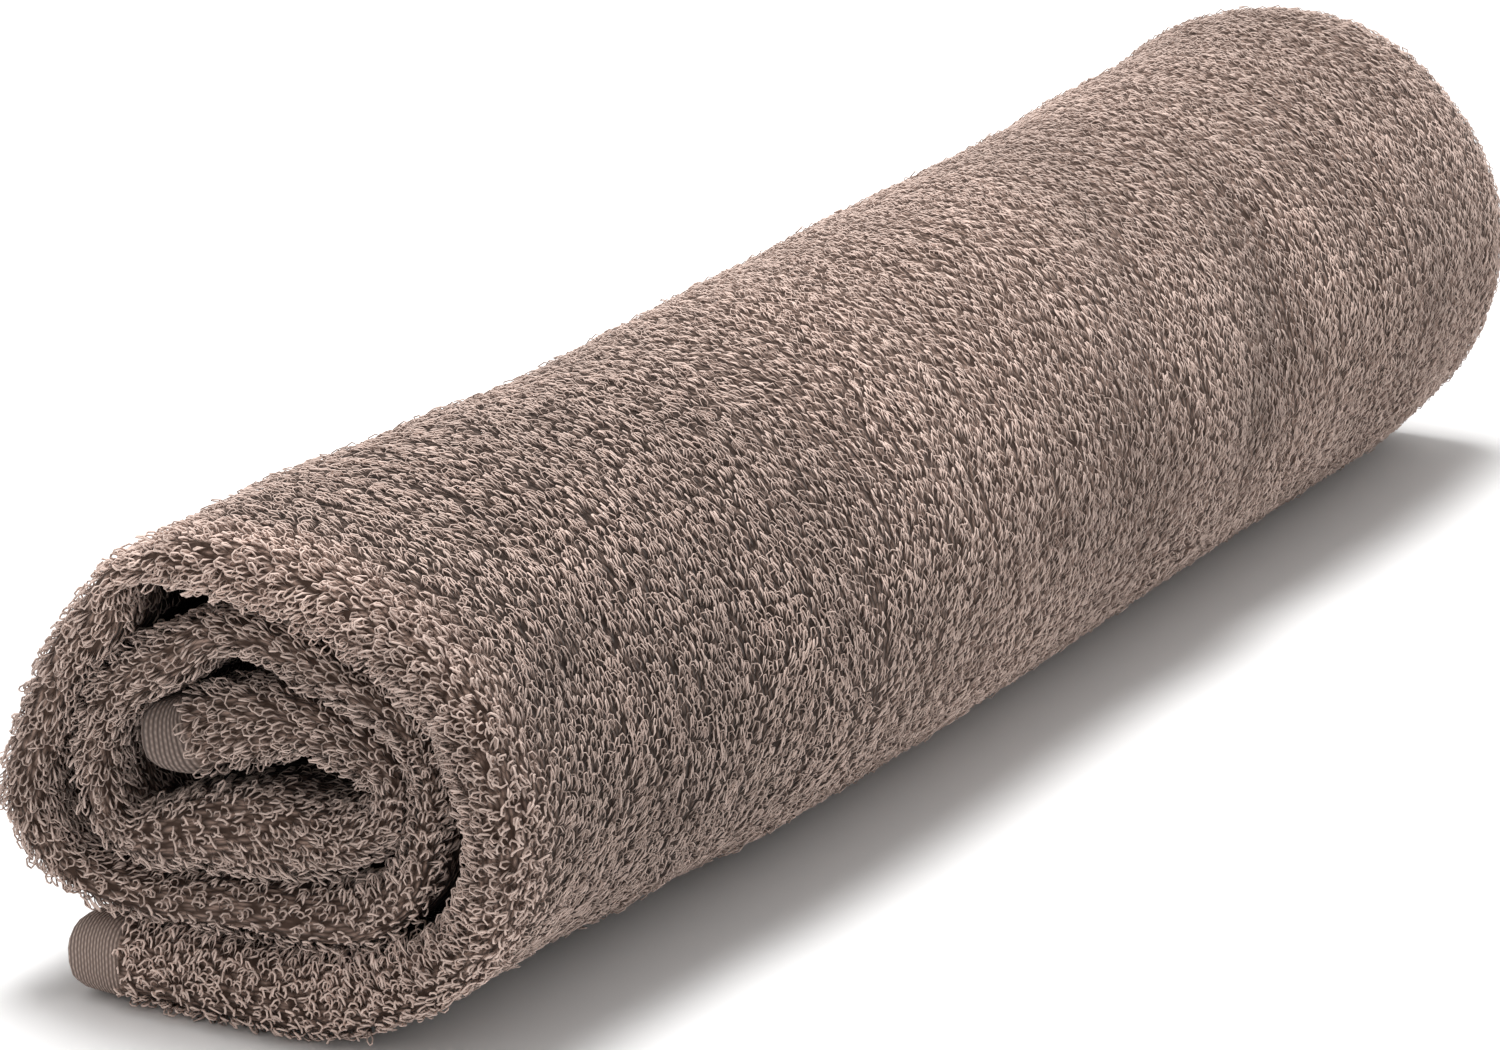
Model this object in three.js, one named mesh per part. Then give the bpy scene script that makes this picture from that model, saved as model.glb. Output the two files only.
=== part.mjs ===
// A hand towel of cotton terry, its two short ends folded in to meet at the middle, and
// rolled up loosely. Millimetres, +Z up. The roll lies along X on its flat spot at
// z = 0, with a fold of the towel at each end, the loosely wound one at the near end
// (-X), and the free long edge low on the +Y side.

import * as THREE from 'three';

// The towel as it was cut, and as it is folded: half of it lies on its other half.
const FLAT_LENGTH = 700;
const FOLDED_LAYERS = 2;
const ROLL_LENGTH = FLAT_LENGTH / FOLDED_LAYERS;

// One turn of the roll is the folded towel, pile and all.
const TURN_THICK = 10;
const TURN_GAP = 0.6;
const TURN_PITCH = TURN_THICK + TURN_GAP;

// How far the round of the roll would reach below the floor, were it not pressed flat.
const FLOOR_PRESS = 4.8;

// The loose near end, along the cloth from its free edge to its inner edge.
// phase: degrees wound from straight below the middle, first towards -Y
// across, height: middle of the folded cloth; thick: its two layers together
// back: how far its fold lies behind the foremost one
const OUTER_TURN = [
  { phase: -48, across: 31.0, height: 5.8, thick: 12.0, back: 0.5 },
  { phase: -20, across: 14.0, height: 5.6, thick: 11.8, back: 0.0 },
  { phase: 5, across: -3.0, height: 5.6, thick: 12.0, back: 1.0 },
  { phase: 30, across: -17.4, height: 10.1, thick: 10.4, back: 2.0 },
  { phase: 55, across: -27.2, height: 18.8, thick: 9.4, back: 2.5 },
  { phase: 90, across: -32.8, height: 35.0, thick: 9.8, back: 1.5 },
  { phase: 120, across: -28.6, height: 49.6, thick: 9.8, back: 1.0 },
  { phase: 150, across: -17.2, height: 60.2, thick: 10.4, back: 1.5 },
  { phase: 180, across: 0.6, height: 65.8, thick: 10.8, back: 2.0 },
  { phase: 205, across: 16.8, height: 67.4, thick: 8.4, back: 1.0 },
  { phase: 225, across: 26.8, height: 62.8, thick: 6.8, back: 0.0 },
  { phase: 250, across: 36.0, height: 51.8, thick: 7.6, back: 0.0 },
  { phase: 270, across: 40.7, height: 40.2, thick: 8.4, back: 0.5 },
  { phase: 290, across: 43.4, height: 28.6, thick: 9.2, back: 1.0 },
  { phase: 315, across: 37.2, height: 19.4, thick: 8.2, back: 1.5 },
];
const MIDDLE_TURN = [
  { phase: 338, across: 24.8, height: 16.2, thick: 7.8, back: 1.5 },
  { phase: 360, across: 6.0, height: 16.2, thick: 7.8, back: 1.0 },
  { phase: 385, across: -12.0, height: 18.8, thick: 7.8, back: 2.0 },
  { phase: 415, across: -21.0, height: 27.2, thick: 6.6, back: 3.5 },
  { phase: 450, across: -23.8, height: 38.0, thick: 5.4, back: 4.0 },
  { phase: 485, across: -18.8, height: 47.6, thick: 6.2, back: 3.0 },
  { phase: 515, across: -7.6, height: 53.6, thick: 7.0, back: 2.0 },
  { phase: 540, across: 6.4, height: 56.0, thick: 7.4, back: 2.5 },
  { phase: 565, across: 18.4, height: 53.2, thick: 8.0, back: 2.0 },
  { phase: 590, across: 27.4, height: 46.4, thick: 8.0, back: 1.5 },
  { phase: 625, across: 31.4, height: 36.2, thick: 8.2, back: 1.0 },
  { phase: 655, across: 27.8, height: 28.2, thick: 8.0, back: 1.0 },
];
const INNER_TURN = [
  { phase: 690, across: 16.0, height: 26.8, thick: 9.4, back: 0.5 },
  { phase: 715, across: 2.6, height: 28.6, thick: 11.6, back: 0.0 },
  { phase: 745, across: -8.4, height: 31.2, thick: 10.4, back: 0.5 },
  { phase: 785, across: -15.8, height: 34.8, thick: 6.4, back: 2.0 },
  { phase: 815, across: -16.8, height: 40.2, thick: 4.8, back: 3.0 },
  { phase: 845, across: -12.4, height: 44.4, thick: 6.0, back: 2.5 },
  { phase: 880, across: -2.6, height: 46.2, thick: 6.8, back: 1.5 },
  { phase: 915, across: 7.4, height: 44.2, thick: 9.4, back: 1.0 },
  { phase: 950, across: 16.2, height: 41.8, thick: 9.0, back: 1.0 },
];
const LOOSE_ROWS = [...OUTER_TURN, ...MIDDLE_TURN, ...INNER_TURN];
const SAMPLES_PER_ROW = 3;

// Past the loose end the roll is wound evenly. loose: share of the loose end's layout.
// width, height, shift: the roll's outline there, and its middle across.
const STATIONS = [
  { along: 0, loose: 1.0, width: 84, height: 73, shift: 1.6 },
  { along: 25, loose: 0.9, width: 82, height: 73.5, shift: 0.6 },
  { along: 60, loose: 0.45, width: 81, height: 74, shift: -1.4 },
  { along: 100, loose: 0.12, width: 81, height: 74.5, shift: -2.8 },
  { along: 145, loose: 0.0, width: 80, height: 75, shift: -3.2 },
  { along: 200, loose: 0.0, width: 80.6, height: 76, shift: -4.0 },
  { along: 260, loose: 0.0, width: 80.6, height: 77, shift: -4.2 },
  { along: 310, loose: 0.0, width: 82.5, height: 79, shift: -4.4 },
  { along: 335, loose: 0.0, width: 82, height: 80.5, shift: -2.8 },
  { along: 350, loose: 0.0, width: 80.6, height: 78.5, shift: -1.6 },
];

// Rounding of the fold at each end, as distance from that end and the share of the full
// thickness there.
const FOLD_ROUNDING = [
  { inset: 0, share: 0.3 },
  { inset: 1.2, share: 0.7 },
  { inset: 3, share: 0.93 },
  { inset: 6, share: 1 },
];
// Places between the two ends where a section is taken, closer where the layout changes.
const SECTIONS_BETWEEN = [16, 30, 46, 64, 84, 108, 145, 185, 225, 265, 300, 330];

// Points round each long edge of the cloth.
const NOSE_POINTS = 3;

// The far fold lies a little askew where the roll was wound, out and back once a turn.
const FAR_UNEVEN = 2.2;
const UNEVEN_REACH = 60;

const TOWEL_COLOUR = 0x8f7c72;

const radians = THREE.MathUtils.degToRad;
const mix = THREE.MathUtils.lerp;

// The value of one column of a table between its rows, eased through each row.
function tableValue(table, position, column, place) {
  const last = table.length - 1;
  if (place <= table[0][position]) return table[0][column];
  if (place >= table[last][position]) return table[last][column];
  const next = table.findIndex((row) => row[position] >= place);
  const before = table[next - 1];
  const after = table[next];
  const share = (place - before[position]) / (after[position] - before[position]);
  return mix(before[column], after[column], share * share * (3 - 2 * share));
}

// Smooth lines through the rows of the loose end: its place, and its thickness.
const looseLine = new THREE.CatmullRomCurve3(
  LOOSE_ROWS.map((row) => new THREE.Vector3(row.across, row.height, 0)),
  false,
  'centripetal',
);
const looseForm = new THREE.CatmullRomCurve3(
  LOOSE_ROWS.map((row) => new THREE.Vector3(row.phase, row.thick, row.back)),
);

// The middle line of the evenly wound cloth at one station: an oval spiral, whose turns
// lie flat on the floor and on each other where they would reach lower. The free edge
// lies flat beside the roll's foot.
function woundPoint(phase, outline) {
  const turns = phase / 360;
  const halfWidth = (outline.width + TURN_PITCH - TURN_THICK) / 2;
  const halfHeight = (outline.height + FLOOR_PRESS + TURN_PITCH / 2 - TURN_THICK) / 2;
  const middleAcross = outline.shift + TURN_PITCH / 4;
  const middleHeight = halfHeight + TURN_THICK / 2 - FLOOR_PRESS;
  const across = middleAcross - (halfWidth - TURN_PITCH * turns) * Math.sin(radians(phase));
  const height = middleHeight - (halfHeight - TURN_PITCH * turns) * Math.cos(radians(phase));
  const lowest = TURN_THICK / 2 + TURN_PITCH * Math.round(turns);
  return new THREE.Vector2(across, phase < 0 ? lowest : Math.max(height, lowest));
}

// The cloth's middle line, thickness and set-back at one place along the roll.
function windingAt(along) {
  const outline = {
    width: tableValue(STATIONS, 'along', 'width', along),
    height: tableValue(STATIONS, 'along', 'height', along),
    shift: tableValue(STATIONS, 'along', 'shift', along),
  };
  const loose = tableValue(STATIONS, 'along', 'loose', along);
  const steps = (LOOSE_ROWS.length - 1) * SAMPLES_PER_ROW;
  const winding = [];
  for (let step = 0; step <= steps; step += 1) {
    const place = looseLine.getPoint(step / steps);
    const form = looseForm.getPoint(step / steps);
    const wound = woundPoint(form.x, outline);
    winding.push({
      middle: new THREE.Vector2(mix(wound.x, place.x, loose), mix(wound.y, place.y, loose)),
      thick: mix(TURN_THICK, form.y, loose),
      back: form.z,
      phase: form.x,
    });
  }
  return winding;
}

// Direction along the winding at one of its points, and the outward side of it.
function directions(winding, index) {
  const before = winding[Math.max(index - 1, 0)].middle;
  const after = winding[Math.min(index + 1, winding.length - 1)].middle;
  const onward = after.clone().sub(before).normalize();
  const outward = new THREE.Vector2(-onward.y, onward.x);
  return { onward, outward };
}

// The closed outline of the section: the outer side, the inner edge's nose, the inner
// side back again and the free edge's nose. Nothing reaches below the floor.
function sectionOutline(winding, share) {
  const outer = [];
  const inner = [];
  winding.forEach((place, index) => {
    const { outward } = directions(winding, index);
    const half = (place.thick * share) / 2;
    outer.push(place.middle.clone().addScaledVector(outward, half));
    inner.push(place.middle.clone().addScaledVector(outward, -half));
  });
  const nose = (index, sense) => {
    const { onward, outward } = directions(winding, index);
    const half = (winding[index].thick * share) / 2;
    const points = [];
    for (let step = 1; step <= NOSE_POINTS; step += 1) {
      const turn = (Math.PI * step) / (NOSE_POINTS + 1);
      points.push(
        winding[index].middle
          .clone()
          .addScaledVector(outward, sense * half * Math.cos(turn))
          .addScaledVector(onward, sense * half * Math.sin(turn)),
      );
    }
    return points;
  };
  const last = winding.length - 1;
  const outline = [...outer, ...nose(last, 1), ...inner.reverse(), ...nose(0, -1)];
  return outline.map((point) => new THREE.Vector2(point.x, Math.max(point.y, 0)));
}

// Places along the roll where a section is taken, with its share of the thickness.
function sectionPlaces() {
  const near = FOLD_ROUNDING.map((row) => ({ along: row.inset, share: row.share }));
  const far = FOLD_ROUNDING.map((row) => ({ along: ROLL_LENGTH - row.inset, share: row.share }));
  const between = SECTIONS_BETWEEN.map((along) => ({ along, share: 1 }));
  return [...near, ...between, ...far.reverse()];
}

// The points of one section. Its turns lie a little in or out of line near each end.
function sectionPoints(place) {
  const winding = windingAt(place.along);
  const samples = winding.length;
  const nearShare = Math.max(0, 1 - place.along / UNEVEN_REACH);
  const farShare = Math.max(0, 1 - (ROLL_LENGTH - place.along) / UNEVEN_REACH);
  return sectionOutline(winding, place.share).map((point, index) => {
    let sample = index;
    if (index >= samples) sample = samples - 1;
    if (index >= samples + NOSE_POINTS) sample = 2 * samples + NOSE_POINTS - 1 - index;
    const { back, phase } = winding[Math.max(sample, 0)];
    const askew = FAR_UNEVEN * (Math.sin(radians(phase)) - 1);
    return [place.along + back * nearShare + askew * farShare, point.x, point.y];
  });
}

// The whole roll as one closed body: its sections joined side to side, and its ends.
function rolledTowelGeometry() {
  const places = sectionPlaces();
  const rings = places.map((place) => sectionPoints(place));
  const ring = rings[0].length;
  const positions = rings.flat(2);
  const faces = [];
  for (let section = 0; section < places.length - 1; section += 1) {
    for (let index = 0; index < ring; index += 1) {
      const here = section * ring + index;
      const beside = section * ring + ((index + 1) % ring);
      faces.push(here, here + ring, beside, beside, here + ring, beside + ring);
    }
  }
  // Each end is closed by rungs from one side of the cloth to the other.
  const samples = (ring - 2 * NOSE_POINTS) / 2;
  const closeEnd = (start, facesFront) => {
    const add = (a, b, c) => {
      const corners = facesFront ? [a, b, c] : [a, c, b];
      faces.push(...corners.map((corner) => start + corner));
    };
    const across = (index) => 2 * samples + NOSE_POINTS - 1 - index;
    for (let index = 0; index < samples - 1; index += 1) {
      add(index, index + 1, across(index));
      add(index + 1, across(index + 1), across(index));
    }
    for (let step = 0; step < NOSE_POINTS; step += 1) {
      add(samples - 1, samples + step, samples + step + 1);
      add(across(0), across(0) + 1 + step, step === NOSE_POINTS - 1 ? 0 : across(0) + 2 + step);
    }
  };
  closeEnd(0, true);
  closeEnd((places.length - 1) * ring, false);

  const geometry = new THREE.BufferGeometry();
  geometry.setAttribute('position', new THREE.Float32BufferAttribute(positions, 3));
  geometry.setIndex(faces);
  geometry.computeBoundingBox();
  const middle = geometry.boundingBox.getCenter(new THREE.Vector3());
  geometry.translate(-middle.x, -middle.y, 0);
  geometry.computeVertexNormals();
  return geometry;
}

const material = new THREE.MeshStandardMaterial({
  color: TOWEL_COLOUR,
  roughness: 0.95,
  metalness: 0,
  name: 'terry_cotton',
});

const towel = new THREE.Mesh(rolledTowelGeometry(), material);
towel.name = 'rolled_towel';

const part = new THREE.Group();
part.add(towel);

export default part;
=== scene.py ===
# %% [markdown]
# # A rolled hand towel
# The towel is looped cotton terry, 50 by 70 cm. Both short ends are folded in to meet at
# the middle, which leaves a double cloth of 50 by 35 cm, and that is rolled up loosely
# along its long side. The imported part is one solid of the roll. This script dresses it:
# it makes the cloth itself as a thin sheet that is folded and wound as the real one is,
# and the pile as thousands of small loops of yarn that stand on that sheet.

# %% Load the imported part
import math

import bpy
import numpy as np
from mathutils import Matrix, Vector


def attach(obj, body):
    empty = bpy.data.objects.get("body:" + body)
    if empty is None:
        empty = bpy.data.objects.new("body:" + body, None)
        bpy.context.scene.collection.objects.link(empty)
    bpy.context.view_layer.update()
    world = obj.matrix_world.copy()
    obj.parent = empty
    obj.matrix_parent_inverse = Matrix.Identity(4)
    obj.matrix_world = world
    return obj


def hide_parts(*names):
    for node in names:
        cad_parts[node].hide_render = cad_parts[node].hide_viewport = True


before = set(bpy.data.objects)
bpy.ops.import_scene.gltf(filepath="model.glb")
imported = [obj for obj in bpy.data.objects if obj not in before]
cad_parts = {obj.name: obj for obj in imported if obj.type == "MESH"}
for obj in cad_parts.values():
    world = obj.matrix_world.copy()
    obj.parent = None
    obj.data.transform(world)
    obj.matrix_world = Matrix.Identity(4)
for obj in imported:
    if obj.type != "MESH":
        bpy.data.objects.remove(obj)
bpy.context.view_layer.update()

MM = 0.001

# %% [markdown]
# ## The camera
# The photograph looks down the roll from its near end, a little from the right, through
# a long lens. The place and the angles below put the roll's outline where it is in the
# photograph. Making the camera first means that every later step can be looked at as
# the photograph shows it.

# %% Camera at the photograph's viewing angle
EYE = (-820.3, -424.6, 321.5)
TURNED_LEFT, TIPPED_DOWN = 28.44, 17.71
LENS, SENSOR = 144, 36
NEAREST, FARTHEST = 0.05, 50

camera = bpy.data.objects.new("camera", bpy.data.cameras.new("camera"))
bpy.context.collection.objects.link(camera)
camera.location = Vector(EYE) * MM
camera.rotation_euler = (math.radians(90 - TIPPED_DOWN), 0, math.radians(TURNED_LEFT - 90))
camera.data.lens, camera.data.sensor_width = LENS, SENSOR
camera.data.sensor_fit = "HORIZONTAL"
camera.data.clip_start, camera.data.clip_end = NEAREST, FARTHEST
bpy.context.scene.camera = camera
print("The camera stands", round(camera.location.length, 3), "m from the origin")

# %% [markdown]
# ## Floor and light
# A studio shot on white has one large soft light overhead and pale surroundings that
# throw light back into the shadows. A wide area light high up makes the soft top light,
# and a pale world and a pale floor fill in from the sides and from below.

# %% Pale floor and soft studio light
FLOOR_SIZE, FLOOR_DROP = 12.0, 0.0002
FLOOR_COLOUR, FLOOR_ROUGHNESS = (0.92, 0.92, 0.92, 1), 0.9
WORLD_COLOUR, WORLD_STRENGTH = (1.0, 0.99, 0.98, 1), 0.6
LIGHT_PLACE, LIGHT_SIZE, LIGHT_POWER = (0.1, 0.12, 1.35), 0.6, 20.5
ROLL_MIDDLE = (0, 0, 0.04)

bpy.ops.object.select_all(action="DESELECT")
bpy.ops.mesh.primitive_plane_add(size=FLOOR_SIZE, location=(0, 0, -FLOOR_DROP))
floor = bpy.context.object
floor.name = "floor"
floor_finish = bpy.data.materials.new("pale_floor")
floor_finish.use_nodes = True
floor_shader = floor_finish.node_tree.nodes["Principled BSDF"]
floor_shader.inputs["Base Color"].default_value = FLOOR_COLOUR
floor_shader.inputs["Roughness"].default_value = FLOOR_ROUGHNESS
floor.data.materials.append(floor_finish)

world = bpy.data.worlds.new("studio")
world.use_nodes = True
world.node_tree.nodes["Background"].inputs["Color"].default_value = WORLD_COLOUR
world.node_tree.nodes["Background"].inputs["Strength"].default_value = WORLD_STRENGTH
bpy.context.scene.world = world
bpy.context.scene.view_settings.view_transform = "Standard"

lamp = bpy.data.lights.new("overhead_light", "AREA")
lamp.shape, lamp.size, lamp.energy = "SQUARE", LIGHT_SIZE, LIGHT_POWER
light = bpy.data.objects.new("overhead_light", lamp)
bpy.context.collection.objects.link(light)
light.location = LIGHT_PLACE
aim = Vector(ROLL_MIDDLE) - light.location
light.rotation_euler = aim.to_track_quat("-Z", "Y").to_euler()

# %% [markdown]
# ## How the towel is wound
# The loose end of the roll can't be drawn by a formula, so the middle of its double
# cloth is listed, with one row of the table for each bend. Phase says how far
# the cloth has gone round, in degrees from straight below. All sizes are millimetres.
# These rows follow the photograph more closely than the imported part's own turns, which
# lie up to 3 mm from them and stop 5 mm short of the free edge and 6 mm short of the
# inner one. Further along the roll the turns lie evenly, as the imported part's do, and a
# short formula for an oval spiral gives them.

# %% The loose end, from the free edge to the inner edge
LOOSE_COLUMNS = ("phase", "across", "height", "thick", "back")
OUTER_TURN = [
    (-60, 36.0, 6.0, 11.4, 1.0),
    (-46, 29.6, 6.2, 12.0, 0.5),
    (-20, 14.0, 6.3, 12.8, 0.0),
    (5, -4.0, 6.6, 13.0, 1.0),
    (28, -15.8, 10.4, 11.2, 2.0),
    (55, -27.2, 18.8, 9.4, 2.5),
    (90, -32.8, 35.0, 9.6, 1.5),
    (120, -28.6, 49.6, 9.8, 1.0),
    (150, -17.2, 60.2, 10.4, 1.5),
    (180, 0.6, 65.8, 10.8, 2.0),
    (205, 16.8, 67.4, 8.4, 1.0),
    (215, 22.2, 66.3, 5.4, 0.5),
    (225, 27.2, 63.9, 5.0, 0.0),
    (237, 30.6, 57.4, 9.2, 0.0),
    (250, 35.6, 51.6, 8.4, 0.0),
    (270, 40.7, 40.2, 8.4, 0.5),
    (290, 43.4, 28.6, 9.2, 1.0),
    (315, 37.2, 19.4, 8.2, 1.5),
]
MIDDLE_TURN = [
    (338, 24.8, 16.4, 7.8, 1.5),
    (360, 8.0, 17.9, 9.2, 1.0),
    (385, -9.6, 19.4, 10.6, 2.0),
    (405, -17.2, 24.5, 7.6, 3.5),
    (425, -20.0, 31.9, 6.0, 4.0),
    (450, -21.0, 39.6, 5.6, 4.0),
    (485, -18.4, 47.8, 6.2, 3.0),
    (515, -7.6, 53.8, 7.0, 2.0),
    (540, 6.2, 57.4, 6.8, 2.5),
    (552, 12.2, 56.9, 6.6, 2.5),
    (565, 18.6, 52.9, 8.6, 2.0),
    (590, 27.9, 46.8, 8.8, 1.5),
    (625, 31.9, 36.2, 7.2, 1.0),
    (655, 27.8, 25.9, 7.0, 1.0),
]
INNER_TURN = [
    (692, 14.4, 27.9, 11.6, 0.5),
    (715, 3.6, 30.0, 13.6, 0.0),
    (745, -7.0, 30.8, 10.8, 0.5),
    (785, -14.8, 34.6, 6.6, 2.0),
    (815, -15.7, 39.4, 5.8, 3.0),
    (845, -11.3, 43.0, 9.4, 2.5),
    (880, -2.6, 46.0, 9.2, 1.5),
    (915, 7.0, 44.9, 12.2, 1.0),
    (932, 12.0, 43.2, 11.6, 1.5),
    (950, 16.6, 41.4, 11.2, 1.0),
    (972, 22.6, 40.6, 10.2, 1.5),
]
by_hand = np.array(OUTER_TURN + MIDDLE_TURN + INNER_TURN, float)
loose_end = dict(zip(LOOSE_COLUMNS, by_hand.T))
turns_by_hand = np.ptp(loose_end["phase"]) / 360
print(len(by_hand), "places by hand, over", round(turns_by_hand, 2), "turns")

# %% The outline of the roll along its length
STATION_COLUMNS = ("along", "loose", "width", "height", "shift")
STATIONS = [
    (0, 1.0, 84, 73, 1.6),
    (25, 0.9, 82, 73.5, 0.6),
    (60, 0.45, 81, 74, -1.4),
    (100, 0.12, 81, 74.5, -2.8),
    (145, 0.0, 80, 75, -3.2),
    (200, 0.0, 80.6, 76, -4.0),
    (260, 0.0, 80.6, 77, -4.2),
    (310, 0.0, 82.5, 79, -4.4),
    (335, 0.0, 82, 80.5, -2.8),
    (350, 0.0, 80.6, 78.5, -1.6),
]
FLAT_WIDTH, FLAT_LENGTH = 500, 700
ROLL_LENGTH = FLAT_LENGTH / 2
TURN_THICK, TURN_PITCH, FLOOR_PRESS = 10, 10.6, 4.8
stations = dict(zip(STATION_COLUMNS, np.array(STATIONS, float).T))
print("The roll is", ROLL_LENGTH, "mm long, with", len(STATIONS), "stations along it")

# %% [markdown]
# A smooth line through the listed rows comes from a Catmull-Rom spline whose knots
# are spaced by the square root of their distances, which doesn't overshoot where two
# rows lie close together. The stations along the roll are eased from one to the next.


# %% Smooth lines and eased columns
def smooth_line(knots, places):
    """Points of a centripetal Catmull-Rom line, at places from 0 to 1 over its knots."""
    padded = np.concatenate([[2 * knots[0] - knots[1]], knots, [2 * knots[-1] - knots[-2]]])
    run = places * (len(knots) - 1)
    span = np.minimum(run.astype(int), len(knots) - 2)
    share = (run - span)[:, None]
    p0, p1, p2, p3 = (padded[span + step] for step in range(4))
    gap0, gap1, gap2 = (
        np.sqrt(np.linalg.norm(after - before, axis=1))[:, None]
        for before, after in ((p0, p1), (p1, p2), (p2, p3))
    )
    leave = gap1 * ((p1 - p0) / gap0 - (p2 - p0) / (gap0 + gap1)) + p2 - p1
    arrive = gap1 * ((p3 - p2) / gap2 - (p3 - p1) / (gap1 + gap2)) + p2 - p1
    bend = 3 * (p2 - p1) - 2 * leave - arrive
    twist = 2 * (p1 - p2) + leave + arrive
    return p1 + leave * share + bend * share**2 + twist * share**3


def soft_step(low, high, value):
    """0 up to low, 1 from high, and eased between them."""
    share = np.clip((value - low) / (high - low), 0, 1)
    return share * share * (3 - 2 * share)


def share_between(low, high, value):
    """1 up to low, 0 from high, and eased between them."""
    return 1 - soft_step(low, high, value)


def unit(vectors):
    """The same directions, each of length one."""
    return vectors / np.linalg.norm(vectors, axis=-1, keepdims=True)


def station(column, along):
    """A column of the stations at one place along the roll, eased from row to row."""
    after = int(np.clip(np.searchsorted(stations["along"], along), 1, len(STATIONS) - 1))
    share = soft_step(stations["along"][after - 1], stations["along"][after], along)
    return stations[column][after - 1] * (1 - share) + stations[column][after] * share


STEPS_PER_ROW = 4
wind = np.linspace(0, 1, (len(loose_end["phase"]) - 1) * STEPS_PER_ROW + 1)
loose_middle = smooth_line(np.stack([loose_end["across"], loose_end["height"]], 1), wind)
phase, loose_thick, set_back = smooth_line(
    np.stack([loose_end["phase"], loose_end["thick"], loose_end["back"]], 1), wind
).T
print("The winding is followed in", len(wind), "steps")


# %% The middle of the double cloth at any place along the roll
END_ROUNDING, END_SHARE = 3, 0.85
PRESS_ROUNDING = 1.2


def even_middle(along):
    """The evenly wound turns: an oval spiral, pressed flat on the floor and on itself."""
    width, height, shift = (station(column, along) for column in ("width", "height", "shift"))
    turns, angle = phase / 360, np.radians(phase)
    half_width = (width + TURN_PITCH - TURN_THICK) / 2
    half_height = (height + FLOOR_PRESS + TURN_PITCH / 2 - TURN_THICK) / 2
    across = shift + TURN_PITCH / 4 - (half_width - TURN_PITCH * turns) * np.sin(angle)
    rise = half_height + TURN_THICK / 2 - FLOOR_PRESS
    rise = rise - (half_height - TURN_PITCH * turns) * np.cos(angle)
    lowest = TURN_THICK / 2 + TURN_PITCH * np.round(turns)
    # The greater of the two, with the corner between them rounded.
    pressed = PRESS_ROUNDING * np.logaddexp(rise / PRESS_ROUNDING, lowest / PRESS_ROUNDING)
    return np.stack([across, np.where(phase < 0, lowest, pressed)], 1)


def lengths_between(points):
    """Distance along a line of points, from its first one."""
    return np.concatenate([[0], np.cumsum(np.linalg.norm(np.diff(points, axis=0), axis=1))])


def winding(along):
    """Middle line of the double cloth at one place, its outward side and its thickness."""
    loose = station("loose", along)
    middle = loose_middle * loose + even_middle(along) * (1 - loose)
    onward = unit(np.gradient(middle, axis=0))
    outward = np.stack([-onward[:, 1], onward[:, 0]], 1)
    run = lengths_between(middle)
    from_end = np.clip(np.minimum(run, run[-1] - run) / END_ROUNDING, 0, 1)
    rounded = END_SHARE + (1 - END_SHARE) * np.sqrt(1 - (1 - from_end) ** 2)
    return middle, outward, (loose_thick * loose + TURN_THICK * (1 - loose)) * rounded


wound = lengths_between(winding(ROLL_LENGTH / 2)[0])
print("Wound length halfway along:", round(wound[-1]), "mm of a", FLAT_WIDTH, "mm width")

# %% [markdown]
# ## Soft troughs and ridges
# Cloth that was rolled by hand isn't a smooth drum. Its outer turn has shallow creases
# and swellings. Each one is listed below, as a soft mound or hollow with its own
# middle, length, width, slant and depth, and a slow unevenness is laid over all of it.
# The unevenness comes from a seeded lattice of random numbers with easing between them,
# so it is the same on every run.

# %% Slow unevenness from a seeded lattice
LATTICE = 64


def patchy(first, second, size, seed):
    """Smooth random patches of one size over two distances in mm, from -1 to 1."""
    lattice = np.random.default_rng(seed).uniform(-1, 1, (LATTICE, LATTICE))
    first, second = np.broadcast_arrays(first / size, second / size)
    row, column = np.floor(first).astype(int), np.floor(second).astype(int)
    down, right = soft_step(0, 1, first - row), soft_step(0, 1, second - column)

    def corner(rows, columns):
        return lattice[(row + rows) % LATTICE, (column + columns) % LATTICE]

    upper = corner(0, 0) * (1 - right) + corner(0, 1) * right
    lower = corner(1, 0) * (1 - right) + corner(1, 1) * right
    return upper * (1 - down) + lower * down


def patches(first, second, table):
    """Patchy fields added up, one for each row of a table: strength, size, seed."""
    return sum(strength * patchy(first, second, size, seed) for strength, size, seed in table)


print("One lattice has", LATTICE * LATTICE, "random numbers")

# %% Creases of the outer turn, listed one by one
# along: mm from the near end; phase: degrees round the roll; slant: degrees from the
# roll's length towards its girth; rise: mm outwards at the middle.
CREASES = [
    (22, 118, 34, 9, 20, -1.3),
    (34, 138, 40, 13, 15, 0.9),
    (62, 105, 30, 12, 60, -0.8),
    (92, 92, 42, 14, 75, -0.7),
    (120, 120, 46, 18, 40, 0.7),
    (150, 150, 60, 16, 65, -0.6),
    (206, 130, 56, 13, 46, -1.1),
    (222, 108, 50, 14, 70, 0.7),
    (243, 106, 60, 13, 64, -1.3),
    (265, 102, 50, 16, 80, 0.8),
    (311, 106, 46, 14, 80, -0.9),
    (70, 172, 50, 14, 30, -0.6),
    (210, 178, 60, 18, 25, 0.5),
    (60, 262, 50, 15, 60, -0.8),
    (150, 250, 60, 18, 70, -0.7),
    (245, 270, 56, 16, 65, -0.7),
    (310, 240, 50, 16, 75, 0.6),
]
SLOW_PATCHES = [(0.7, 46, 11), (0.4, 19, 12)]
# Phases over which the unevenness starts, and over which the next turn covers it.
UNEVEN_FROM, UNEVEN_UNTIL = (12, 60), (288, 338)
GIRTH_PER_DEGREE = 0.68


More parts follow.
